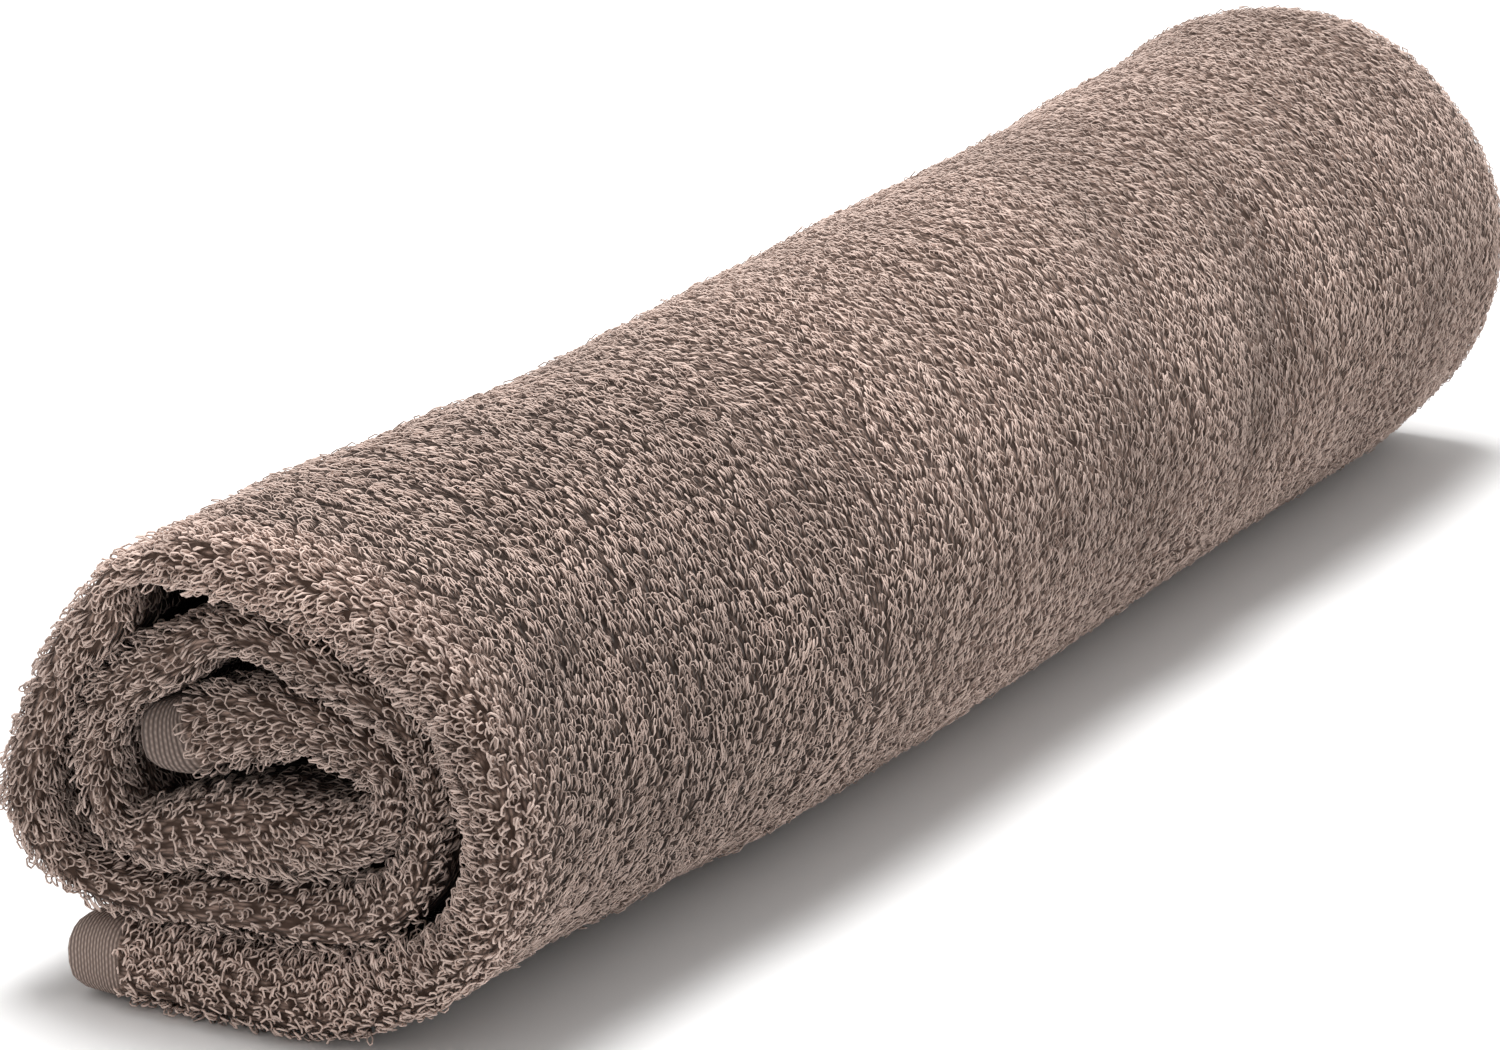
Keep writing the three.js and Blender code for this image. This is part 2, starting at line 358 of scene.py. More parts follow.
def unevenness(along, phase=phase, wound=wound):
    """How far the cloth is pushed outwards at places along the roll and round its winding."""
    push = patches(along, wound, SLOW_PATCHES)
    for crease_along, crease_phase, length, width, slant, rise in CREASES:
        ahead, round_it = along - crease_along, (phase - crease_phase) * GIRTH_PER_DEGREE
        lean = math.radians(slant)
        lengthwise = ahead * math.cos(lean) + round_it * math.sin(lean)
        sideways = round_it * math.cos(lean) - ahead * math.sin(lean)
        off_middle = (2 * lengthwise / length) ** 2 + (2 * sideways / width) ** 2
        push = push + rise * np.exp(-off_middle)
    return push * share_between(*UNEVEN_UNTIL, phase) * soft_step(*UNEVEN_FROM, phase)


print("Creases placed by hand:", len(CREASES))

# %% [markdown]
# ## The cloth
# The ground of the terry is a woven sheet about a millimetre thick. It is one sheet, so
# it is made as one closed shell: from one hem at the middle of the inner layer to the
# far fold, back along the outer layer, round the near fold, and on to the other hem.
# Rows of points follow that path, one row for each place in the fold, and each row is
# wound up as the double cloth is. The pile stands on it, so the sheet lies a pile's
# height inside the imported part's surface.

# %% The rows of the sheet, from hem to hem
FOLD_DEPTH, FOLD_ROWS, BLUNT = 6, 10, 0.75
OUTER_SPACING, INNER_SPACING = 6.5, 18
PAST_FOLD, INNER_PAST_FOLD = 2, 3
HEM_GAP = 3

halfway, outer_start = ROLL_LENGTH / 2, FOLD_DEPTH + PAST_FOLD
outer_rows = round(ROLL_LENGTH / OUTER_SPACING)
outer_places = np.linspace(outer_start, ROLL_LENGTH - outer_start, outer_rows)
inner_places = np.arange(FOLD_DEPTH + INNER_PAST_FOLD, halfway - HEM_GAP, INNER_SPACING)
swings = np.linspace(90, -90, FOLD_ROWS)
sheet_rows = [(halfway + HEM_GAP / 2, -1.0)]
sheet_rows += [(ROLL_LENGTH - place, -1.0) for place in reversed(inner_places)]
sheet_rows += [("far", -swing) for swing in swings]
sheet_rows += [(place, 1.0) for place in reversed(outer_places)]
sheet_rows += [("near", swing) for swing in swings]
sheet_rows += [(place, -1.0) for place in inner_places] + [(halfway - HEM_GAP / 2, -1.0)]
print("Rows of the sheet from hem to hem:", len(sheet_rows))

# %% One row of the sheet, wound up
PILE_HEIGHT, GROUND_THICK = 1.0, 1.2
PILE_SIDE, BACK_SIDE = 0, 1
# Least half thickness of the double cloth, at the pile side and at the back.
LEAST_HALF = (0.75, 0.1)
# Widths of the woven strips, and where the pile's height starts beside them.
FREE_SELVEDGE, INNER_SELVEDGE, PILE_STARTS = 8.5, 5.5, (-2, 3)
PINCHED, PINCH_GROWS, PINCH_FADES = 0.34, (4, 34), (-8, 8)
FLOOR_CLEAR = 0.35
FAR_UNEVEN, UNEVEN_REACH = 2.2, 60
RIM_PATCHES, RIM_PATCH_FADE = [(0.7, 17, 13)], 4


def wound_row(place, side, face):
    """Points of one row of the sheet in the roll's own millimetres, on one face of it."""
    past_strip = np.minimum(wound - FREE_SELVEDGE, wound[-1] - INNER_SELVEDGE - wound)
    inset = PILE_HEIGHT * soft_step(*PILE_STARTS, past_strip) + GROUND_THICK * face
    if isinstance(place, str):
        swing = math.radians(side)
        reach = inset + (FOLD_DEPTH - inset) * (1 - max(0, math.cos(swing)) ** BLUNT)
        side = math.copysign(abs(math.sin(swing)) ** BLUNT, swing)
        place = reach if place == "near" else ROLL_LENGTH - reach
    middle, outward, thick = winding(np.mean(place))
    half_thick = np.maximum(thick / 2 - inset, LEAST_HALF[face])
    # Away from the folds, the two layers draw together towards the woven edges.
    from_fold = np.minimum(place, ROLL_LENGTH - place)
    drawn = soft_step(*PINCH_GROWS, from_fold) * share_between(*PINCH_FADES, past_strip)
    half_thick = half_thick * (1 - (1 - PINCHED) * drawn)
    section = middle + outward * (half_thick * side + unevenness(place))[:, None]
    near_share = np.maximum(0, 1 - place / UNEVEN_REACH)
    far_share = np.maximum(0, 1 - (ROLL_LENGTH - place) / UNEVEN_REACH)
    along = place + set_back * near_share
    along = along + FAR_UNEVEN * (np.sin(np.radians(phase)) - 1) * far_share
    at_rims = (near_share + far_share) ** RIM_PATCH_FADE
    along = along + patches(wound, place, RIM_PATCHES) * at_rims
    height = np.maximum(section[:, 1], FLOOR_CLEAR + GROUND_THICK * face)
    return np.stack([along, section[:, 0], height], 1)


pile_side = np.array([wound_row(place, side, PILE_SIDE) for place, side in sheet_rows])
back_side = np.array([wound_row(place, side, BACK_SIDE) for place, side in sheet_rows])
print("Points on each side of the sheet:", pile_side.shape[0] * pile_side.shape[1])

# %% [markdown]
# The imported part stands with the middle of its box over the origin. The sheet is moved
# by the same amounts: half the length along the roll, and sideways by the middle of what
# the double cloth reaches to the left and to the right.

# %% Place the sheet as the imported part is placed
reaches = []
for place in outer_places:
    middle, outward, thick = winding(place)
    half = outward[:, 0] * thick / 2
    reaches += [middle[:, 0] + half, middle[:, 0] - half]
to_origin = np.array([-halfway, -(np.max(reaches) + np.min(reaches)) / 2, 0])
pile_side, back_side = pile_side + to_origin, back_side + to_origin
low_corner, high_corner = pile_side.min((0, 1)).round(1), pile_side.max((0, 1)).round(1)
print("Moved by", to_origin.round(2), "mm")
print("The sheet reaches from", low_corner, "to", high_corner, "mm")


# %% Meshes from arrays, and patches of faces between rows of points
def mesh_piece(name, points, triangles):
    """A smooth piece of triangles, from points in mm, with its place in its mesh."""
    mesh = bpy.data.meshes.new(name)
    mesh.vertices.add(len(points))
    mesh.vertices.foreach_set("co", (points * MM).astype(np.float32).ravel())
    mesh.loops.add(triangles.size)
    mesh.loops.foreach_set("vertex_index", triangles.astype(np.int32).ravel())
    mesh.polygons.add(len(triangles))
    mesh.polygons.foreach_set("loop_start", np.arange(0, triangles.size, 3, dtype=np.int32))
    mesh.update(calc_edges=True)
    mesh.shade_smooth()
    piece = bpy.data.objects.new(name, mesh)
    bpy.context.collection.objects.link(piece)
    return piece


def corner_map(piece, name, places):
    """A UV map, with one place for each corner of each triangle."""
    layer = piece.data.uv_layers.new(name=name)
    layer.uv.foreach_set("vector", places.astype(np.float32).ravel())


def patch(numbers, across, up):
    """Triangles between rows of point numbers, and where their corners lie on a UV map."""
    spots = np.stack(np.meshgrid(across, up), -1)
    low, high = slice(0, -1), slice(1, None)
    corners = [(low, low), (low, high), (high, high), (high, low)]
    square = np.stack([numbers[corner] for corner in corners], -1).reshape(-1, 4)
    place = np.stack([spots[corner] for corner in corners], -2).reshape(-1, 4, 2)
    triangles = np.concatenate([square[:, [0, 1, 2]], square[:, [0, 2, 3]]])
    places = np.concatenate([place[:, [0, 1, 2]], place[:, [0, 2, 3]]])
    # Where two neighbours of a row are one point, one of the two triangles has no width.
    whole = (triangles != np.roll(triangles, 1, 1)).all(1)
    return triangles[whole], places[whole]


small_patch = patch(np.arange(6).reshape(2, 3), (0, 1, 2), (0, 1))
print("A patch of two rows of three points has", len(small_patch[0]), "triangles")

# %% The sheet as one closed shell
# Where the parts of the shell lie on the baking map.
ALL_ACROSS, PILE_ROWS, BACK_ROWS = (0.01, 0.99), (0.01, 0.48), (0.52, 0.99)
FIRST_HEM, LAST_HEM = (0.485, 0.495), (0.505, 0.515)

rows, steps = pile_side.shape[:2]
edge_points = []
for edge, inside in ((0, 1), (-1, -2)):
    onward = unit(pile_side[:, edge] - pile_side[:, inside])
    middle = (pile_side[:, edge] + back_side[:, edge]) / 2
    edge_points.append(middle + onward * GROUND_THICK / 2)
both_sides = [pile_side.reshape(-1, 3), back_side.reshape(-1, 3)]
sheet_points = np.concatenate([*both_sides, *edge_points])
front = np.arange(rows * steps).reshape(rows, steps)
free_edge, inner_edge = (2 * rows * steps + np.arange(2 * rows)).reshape(2, rows, 1)
back = np.hstack([free_edge, front + rows * steps, inner_edge])
front = np.hstack([free_edge, front, inner_edge])
across = np.linspace(*ALL_ACROSS, steps + 2)
parts = [
    patch(front, across, np.linspace(*PILE_ROWS, rows)),
    patch(back[::-1], across, np.linspace(*BACK_ROWS, rows)),
    patch(np.stack([back[0], front[0]]), across, FIRST_HEM),
    patch(np.stack([front[-1], back[-1]]), across, LAST_HEM),
]
sheet_faces = np.concatenate([triangles for triangles, places in parts])
towel = mesh_piece("towel_cloth", sheet_points, sheet_faces)
corner_map(towel, "OFBake", np.concatenate([places for triangles, places in parts]))
print("The sheet has", len(sheet_faces), "triangles")

# %% Distances on the cloth: round the winding, and along it from the near fold
row_gaps = np.diff(pile_side, axis=0, prepend=pile_side[:1])
from_hem = np.cumsum(np.linalg.norm(row_gaps, axis=2), axis=0)


def fold_distance(name):
    """Distance from the first hem to the middle of a fold, for each step of the winding."""
    in_fold = [number for number, (place, side) in enumerate(sheet_rows) if place == name]
    return np.mean(from_hem[in_fold], axis=0)


folded = from_hem - fold_distance("near")
far_fold = fold_distance("far") - fold_distance("near")
cloth_places = np.stack([np.broadcast_to(wound, folded.shape), folded], -1).reshape(-1, 2)
ends = (-GROUND_THICK / 2, wound[-1] + GROUND_THICK / 2)
edge_places = [np.stack([np.full(rows, end), folded[:, 0]], 1) for end in ends]
cloth_places = np.concatenate([cloth_places, cloth_places, *edge_places])
corner_map(towel, "cloth_mm", cloth_places[sheet_faces])
print("The sheet is", round(np.ptp(folded, 0).mean()), "mm from hem to hem")

# %% [markdown]
# ## The pile
# Terry pile is yarn drawn up into small loops, about sixty on each square centimetre. A
# loop is a closed tube along a teardrop outline, with only eighteen or twenty-four
# triangles because it is repeated tens of thousands of times. The loops of a piece are
# worked out together as arrays, which is quick, and are joined in one mesh from the
# start. They stand only where the pile can be seen: on the outer turn, on the band
# beside the free edge, and on the rounded folds and a little way in at both ends.

# %% Places for the loops, on lattices that are a little uneven
LOOP_SPACING, NEAR_SPACING, JITTER = 1.25, 1.13, 0.3
# Combing draws the loops together in files that run round the roll, with dark furrows
# between them. They are weaker on the near fold.
FURROWED, FURROW_WIDTH, FURROW_LENGTH, FURROW_SEED = 1.1, 2.6, 20, 21
FURROWS_ON_FOLD, FURROWS_GROW = 0.3, (10, 30)
NEAR_REACH, DEEPEST, PAST_FAR_FOLD = 8, 24, 14
# The band between the free edge and the roll shows from behind, up to this wound distance.
BY_FREE_EDGE = 22
LOOP_SEED = 20
chance = np.random.default_rng(LOOP_SEED)


def lattice(start, end, spacing, until):
    """Places between two distances from the near fold, up to a wound distance.

    Four rows: wound distance, distance from the near fold, row of the sheet, and distance
    from the far fold.
    """
    columns, lines = np.arange(FREE_SELVEDGE, until, spacing), np.arange(start, end, spacing)
    uneven = chance.uniform(-JITTER, JITTER, (2, len(lines), len(columns))) * spacing
    odd = (np.arange(len(lines)) % 2)[:, None] * spacing / 2
    round_it, along_it = columns + odd + uneven[0], lines[:, None] + uneven[1]
    squeezed = round_it * FURROW_WIDTH / FURROW_LENGTH
    furrow = patchy(along_it, squeezed, FURROW_WIDTH, FURROW_SEED) * FURROWED
    grown = soft_step(*FURROWS_GROW, abs(along_it))
    along_it += furrow * (FURROWS_ON_FOLD + (1 - FURROWS_ON_FOLD) * grown)
    on_row, from_far = np.empty_like(along_it), np.empty_like(along_it)
    for number, step in enumerate(np.interp(columns, wound, np.arange(steps)).astype(int)):
        on_row[:, number] = np.interp(along_it[:, number], folded[:, step], np.arange(rows))
        from_far[:, number] = abs(along_it[:, number] - far_fold[step])
    return np.stack([values.ravel() for values in (round_it, along_it, on_row, from_far)])


inner_strip, by_far_fold = wound[-1] - INNER_SELVEDGE, far_fold.mean() - PAST_FAR_FOLD
places = np.hstack([
    lattice(by_far_fold, -NEAR_REACH, LOOP_SPACING, inner_strip),
    lattice(-NEAR_REACH, NEAR_REACH, NEAR_SPACING, inner_strip),
    lattice(NEAR_REACH, DEEPEST, LOOP_SPACING, inner_strip),
    lattice(folded.min() + 1, by_far_fold, LOOP_SPACING, BY_FREE_EDGE),
    lattice(DEEPEST, folded.max() - 1, LOOP_SPACING, BY_FREE_EDGE),
])
from_near = np.minimum(abs(places[1]), abs(places[1] - 2 * far_fold.mean()))
outside = (places[1] < 0) & (places[1] > far_fold.mean())
loop_phase = np.interp(places[0], wound, phase)
print("Places for loops:", places.shape[1])

# %% Loops only where the pile can be seen
# Phases where the outer turn leaves the floor, where the photograph loses sight of it, and
# where the next turn begins.
OFF_FLOOR, OUT_OF_SIGHT, NEXT_TURN = 15, 215, 322
# The share of the places that have a loop.
ON_FLOOR, IN_SIGHT, BEHIND, IN_HOLLOWS, ON_FAR_FOLD = 0.04, 1.0, 0.5, 0.7, 0.7
# Faces of the winding that can be seen deeper in, through a hollow: outer face or not, phases.
HOLLOWS = [
    (False, 170, 235), (True, 530, 600), (False, 520, 700), (True, 850, 972), (False, 700, 972),
]
# Faces beside a narrow slit that stays open, with no loops deeper in.
SLITS = [(False, 25, 100), (True, 390, 465), (False, 520, 560)]
HOLLOWS_FADE, FAR_FADE = (12, DEEPEST), (5, 11)
REACH_IN_SLITS, REACH_ELSEWHERE = 4, 6


def among(faces):
    """Whether each place is on one of the listed faces of the winding."""
    found = np.zeros(len(loop_phase), bool)
    for face, low, high in faces:
        found |= (outside == face) & (loop_phase > low) & (loop_phase < high)
    return found


on_outer = np.where(loop_phase < OUT_OF_SIGHT, IN_SIGHT, BEHIND)
on_outer = np.where(loop_phase < OFF_FLOOR, ON_FLOOR, on_outer) * (loop_phase < NEXT_TURN)
keep = np.where(outside, on_outer, places[0] < BY_FREE_EDGE)
in_hollows = share_between(*HOLLOWS_FADE, from_near) * IN_HOLLOWS * among(HOLLOWS)
near_reach = np.where(among(SLITS), REACH_IN_SLITS, REACH_ELSEWHERE)
on_near_fold = share_between(near_reach, 2 * near_reach, from_near)
on_far_fold = share_between(*FAR_FADE, places[3]) * ON_FAR_FOLD
keep = np.max([keep, in_hollows, on_near_fold, on_far_fold], axis=0)
kept = chance.random(len(keep)) < keep
loop_wound, loop_folded, loop_row, from_far = places[:, kept]
loop_phase, from_near, outside = loop_phase[kept], from_near[kept], outside[kept]
print("Loops of pile:", len(loop_wound))


# %% The sheet's surface under each loop
def on_sheet(grid):
    """Values of a grid over the sheet at the foot of each loop."""
    step = np.interp(loop_wound, wound, np.arange(steps))
    low_step = np.minimum(step.astype(int), steps - 2)
    low_row = np.minimum(loop_row.astype(int), rows - 2)
    over, down = (step - low_step)[:, None], (loop_row - low_row)[:, None]
    first = grid[low_row, low_step] * (1 - over) + grid[low_row, low_step + 1] * over
    second = grid[low_row + 1, low_step] * (1 - over) + grid[low_row + 1, low_step + 1] * over
    return first * (1 - down) + second * down


round_it, along_it = np.gradient(pile_side, axis=1), np.gradient(pile_side, axis=0)
foot = on_sheet(pile_side)
onward = unit(on_sheet(unit(round_it)))
outward = unit(on_sheet(unit(np.cross(round_it, along_it))))
sideways = unit(np.cross(outward, onward))
print("Feet of the loops lie between", foot.min(0).round(1), "and", foot.max(0).round(1), "mm")

# %% [markdown]
# Rolling the towel has combed the pile one way round: up the right side, over the top
# and down the left side. At the near rim it has also been pushed over the fold, towards
# the inside. The angle and the lean still wander from patch to patch, and from loop to
# loop. Each loop rises from the cloth, bends over and lies down on its neighbours.

# %% The way each loop leans
# Degrees: from upright, and at the rim also sideways, for phases of the winding.
LEAN, LEAST_LEAN, MOST_LEAN, CALM_LEAN = 79, 30, 86, 6
RIM_LEAN = [(-60, 60), (180, 62), (230, 71), (322, 71), (400, 62)]
RIM_TURN = [
    (-48, 62), (20, 62), (60, 78), (105, 70), (150, 30),
    (200, 5), (300, 0), (340, 35), (400, 30), (470, 0),
]
LEAN_PATCHES, TURN_PATCHES = [(5, 25, 33), (5, 7, 34)], [(20, 18, 31), (14, 6, 32)]
# The rim, the messy pile a little further in, and the calm pile far along the roll.
RIM_FADES, MESS_FADES, CALM_GROWS = (5, 15), (8, 28), (80, 300)
MESS_FROM, MESS_ELSEWHERE = 70, 0.4

count = len(foot)
at_rim = share_between(*RIM_FADES, from_near)
on_flank = (loop_phase > MESS_FROM) & (loop_phase < OUT_OF_SIGHT)
messy = share_between(*MESS_FADES, from_near) * np.where(on_flank, 1, MESS_ELSEWHERE)
calm = soft_step(*CALM_GROWS, from_near)


def by_phase(table):
    """A column of values placed by phase, read off at each loop."""
    return np.interp(loop_phase, *zip(*table))


def astray(spread, in_mess, on_rim):
    """A random angle for each loop, wider in the mess and on the rim."""
    return chance.normal(0, spread, count) * (1 + in_mess * messy + on_rim * at_rim)


turned = patches(loop_wound, loop_folded, TURN_PATCHES) + astray(13, in_mess=0.9, on_rim=0.5)
turned = np.radians(turned + at_rim * by_phase(RIM_TURN))[:, None]
lean = LEAN + (by_phase(RIM_LEAN) - LEAN) * at_rim + CALM_LEAN * calm
lean += patches(loop_wound, loop_folded, LEAN_PATCHES) + astray(5, in_mess=1.2, on_rim=0.6)
lean = np.radians(np.clip(lean, LEAST_LEAN, MOST_LEAN))[:, None]
combed = np.cos(turned) * onward + np.sin(turned) * sideways
towards = np.sin(lean) * combed + np.cos(lean) * outward
print("Loops lean over by", round(np.degrees(lean.mean())), "degrees on average")

# %% Length, width and twist of each loop
LOOP_LENGTH, LOOP_WIDTH, STRAND = 2.3, 1.06, 0.115
# Loops are fuller at the rim, and half as much in the mess. Their length takes up little of
# that. At the rim their strands are thicker too.
RIM_FULLER, MESS_FULLER, LONGER, RIM_THICKER = 0.1, 0.5, 0.2, 0.5
TWIST = 28
LARGE_SHARE, LARGE_LENGTH, LARGE_WIDTH = 0.035, 0.9, 1.6


def varied(size, spread, least, most):
    """A size for each loop: spread round the usual one, between two shares of it."""
    return size * np.clip(chance.normal(1, spread, count), least, most)


fuller = 1 + RIM_FULLER * np.maximum(MESS_FULLER * messy, at_rim)
length = varied(LOOP_LENGTH, 0.2, 0.55, 1.5) * fuller**LONGER
width = varied(LOOP_WIDTH, 0.2, 0.55, 1.6) * fuller
strand = varied(STRAND, 0.1, 0.75, 1.3) * (1 + RIM_THICKER * at_rim)
large = chance.random(count) < LARGE_SHARE
length = np.where(large, LARGE_LENGTH * length, length)[:, None]
width = np.where(large, LARGE_WIDTH * width, width)[:, None]
twist = np.radians(chance.normal(0, TWIST, count))[:, None]
flat = unit(np.cross(towards, outward))
wide = unit(flat * np.cos(twist) + np.cross(towards, flat) * np.sin(twist))
average = length.mean().round(2), width.mean().round(2)
print("Loops are", average[0], "mm long and", average[1], "mm wide on average")

# %% Points of the loops
# Each row is a place on the teardrop: across it in half widths, along it in lengths.
ROUND_HEAD = [(-0.1, -0.05), (-1.0, 0.7), (-0.55, 1.0), (0.55, 1.0), (1.0, 0.7), (0.1, -0.05)]
PLAIN_HEAD = [(-0.1, -0.05), (-0.95, 0.76), (0, 1.04), (0.95, 0.76), (0.1, -0.05)]
FULL_HEAD = [(-0.1, -0.05), (-1.0, 0.74), (-0.5, 1.0), (0.5, 1.0), (1.0, 0.74), (0.1, -0.05)]
SIDES = 3
# A loop rises steeply at first, to its bend. No point of it goes below the lowest height.
RISING, BEND = 0.6, 0.38
LOWEST = 0.05

rising = unit(RISING * outward + (1 - RISING) * towards)
bend_at, head_at = foot + rising * length * BEND, foot + towards * length


def loops(chosen, outline):
    """Points of the chosen loops: a three-sided tube along the outline, closed at both feet."""
    start, bend, end = foot[chosen], bend_at[chosen], head_at[chosen]
    half = (wide * width / 2)[chosen]
    centres = [
        start * (1 - along) ** 2 + bend * 2 * along * (1 - along) + end * along**2
        + half * across
        for across, along in outline
    ]
    rings = [centres[0][:, None]]
    for ring in range(1, len(outline) - 1):
        along = outline[ring][1]
        heading = (bend - start) * (1 - along) + (end - bend) * along
        plane_normal = unit(np.cross(half, heading))
        in_plane = unit(np.cross(plane_normal, centres[ring + 1] - centres[ring - 1]))
        turn = np.radians(90 + 360 / SIDES * np.arange(SIDES))[None, :, None]
        spoke = np.cos(turn) * in_plane[:, None] + np.sin(turn) * plane_normal[:, None]
        rings.append(centres[ring][:, None] + spoke * strand[chosen][:, None, None])
    points = np.concatenate([*rings, centres[-1][:, None]], 1)
    points[:, :, 2] = np.maximum(points[:, :, 2], LOWEST)
    return points


print("Places on an outline:", len(ROUND_HEAD), "or, with a plainer head,", len(PLAIN_HEAD))

# %% Triangles of one loop, and their place in its cell of the baking map
# The margin is a share of the cell. The tube's two closing ends are shorter than its rings.
CELL_MARGIN, END_HEIGHT = 0.06, 0.6


def one_loop(outline):
    """Triangles of a loop, their corners in its cell, and how far up each point lies."""
    last = (len(outline) - 2) * SIDES + 1
    rings = np.arange(1, last).reshape(-1, SIDES)
    tube = np.vstack([np.zeros((1, SIDES), int), rings, np.full((1, SIDES), last)])
    ring_heights = END_HEIGHT + np.arange(len(rings))
    heights = np.array([0, *ring_heights, ring_heights[-1] + END_HEIGHT])
    across, up = np.linspace(0, 1, SIDES + 1), heights / heights[-1]
    triangles, cell = patch(np.hstack([tube, tube[:, :1]]), across, up)
    tip = np.array([0, *np.repeat([along for across, along in outline[1:-1]], SIDES), 0])
    return triangles, CELL_MARGIN + cell * (1 - 2 * CELL_MARGIN), tip


outlines = (FULL_HEAD, ROUND_HEAD, PLAIN_HEAD)
print("Triangles of one loop:", [len(one_loop(outline)[0]) for outline in outlines])

# %% [markdown]
# Each loop has one number for how pale it is, which its finish reads. Most of it is soft
# patches and chance, the yarn's own colour. The rest follows the photograph and is painted
# light and shade: a lit rim painted paler, troughs painted darker and ridges paler, two
# broad painted shades, and loops painted darker between the turns, where shade falls.

# %% How pale each loop is, with painted light and shade
TONE, TONE_PATCHES, TONE_SPREAD, CALM_TONE = 0.5, [(0.12, 30, 41), (0.1, 9, 42)], 0.12, 0.5
# The loops of the rim are painted paler where the light falls into them, a painted light,
# and the far ones a little darker, a painted shade. Both have less painted shade at their feet.
RIM_LIT = [
    (-60, 1.5), (35, 1.2), (75, 0), (130, 0), (165, 1.4), (225, 1.4), (260, 0), (322, 0),
    (350, -0.6),
]
LIT_PALER, CALM_PAINTED_SHADE, CALM_ALIKE, LIT_ALIKE, ALIKE_TIP = 0.3, 0.05, 0.8, 0.5, 0.6
# The loops are painted darker in the troughs and paler on the ridges: painted shade and painted
# light.
TROUGH_SHADE_RIDGE_LIGHT = 0.3
# Broad painted light and shade on the outer turn, listed: along, phase, length, width in
# degrees, and how much paler.
PAINTED_SHADES = [(135, 150, 190, 85, 0.24), (45, 72, 120, 40, -0.16)]
# Deeper in, between the turns, the loops are painted darker: painted shade.
DEEP_PAINTED_SHADE, DEEP_GROWS = 0.6, (3, 12)

tone_and_shade = TONE + patches(loop_wound, loop_folded, TONE_PATCHES)
tone_and_shade += chance.normal(0, TONE_SPREAD, count) * (1 - CALM_TONE * calm)
lit = at_rim * by_phase(RIM_LIT)
# Painted light on the lit rim, painted shade on the far loops.
tone_and_shade += LIT_PALER * lit - CALM_PAINTED_SHADE * calm
# Painted shade in the troughs, painted light on the ridges.
tone_and_shade += TROUGH_SHADE_RIDGE_LIGHT * unevenness(foot[:, 0] + halfway, loop_phase, loop_wound) * outside
# Broad patches of painted light and painted shade.
for shade_along, shade_phase, shade_length, shade_width, paler in PAINTED_SHADES:
    off_middle = (2 * (from_near - shade_along) / shade_length) ** 2
    off_middle += (2 * (loop_phase - shade_phase) / shade_width) ** 2
    tone_and_shade += paler * np.exp(-off_middle) * outside
between_turns = ~outside | (loop_phase > NEXT_TURN)
# Painted shade between the turns.
tone_and_shade -= DEEP_PAINTED_SHADE * soft_step(*DEEP_GROWS, from_near) * between_turns
# Less painted shade at the feet of the far loops and of the lit rim's loops.
alike = np.maximum(CALM_ALIKE * calm, LIT_ALIKE * np.clip(lit, 0, 1))[:, None]
print("Tone of the loops:", tone_and_shade.mean().round(2), "on average, spread", tone_and_shade.std().round(2))

# %% The loops joined in one piece for each part of the roll
# Loops that a viewer comes closest to have the rounder head.
FAR_PILE = 10
OUTER_CUTS = (16, 55, 95, 175, 260, ROLL_LENGTH)
OUTER_HEADS = (ROUND_HEAD, ROUND_HEAD, PLAIN_HEAD, PLAIN_HEAD, PLAIN_HEAD)

at_far_end, at_near_end = from_far < FAR_PILE, from_near < OUTER_CUTS[0]
groups = {"pile_near_end": (at_near_end, FULL_HEAD), "pile_far_end": (at_far_end, PLAIN_HEAD)}
for number, (start, end) in enumerate(zip(OUTER_CUTS, OUTER_CUTS[1:]), 1):
    between = (from_near >= start) & (from_near < end) & ~at_far_end
    groups[f"pile_outer_{number}"] = between, OUTER_HEADS[number - 1]

pile = []
for name, (chosen, outline) in groups.items():
    points = loops(chosen, outline)
    triangles, cell, tip = one_loop(outline)
    first = (np.arange(len(points)) * points.shape[1])[:, None, None]
    piece = mesh_piece(name, points.reshape(-1, 3), (triangles + first).reshape(-1, 3))
    cells = math.ceil(math.sqrt(len(points)))
    corner = np.stack(np.divmod(np.arange(len(points)), cells), 1)[:, None, None]
    corner_map(piece, "OFBake", (corner + cell) / cells)
    tips = tip * (1 - alike[chosen]) + alike[chosen] * ALIKE_TIP
    # The attribute holds the yarn's own paleness together with its painted light and shade.
    for kind, values in (("tone_and_shade", np.repeat(tone_and_shade[chosen], len(tip))), ("tip", tips)):
        kept_values = piece.data.attributes.new(kind, "FLOAT", "POINT")
        kept_values.data.foreach_set("value", values.astype(np.float32).ravel())
    pile.append(piece)
    print(name, "has", len(points), "loops and", len(piece.data.polygons), "triangles")
print("Triangles in all:", sum(len(piece.data.polygons) for piece in [towel, *pile]))

# %% [markdown]
# ## Finishes
# Shader maths is easier to read as sums than as nodes, so a small class wraps a socket
# and makes Math nodes from plus, minus and times.


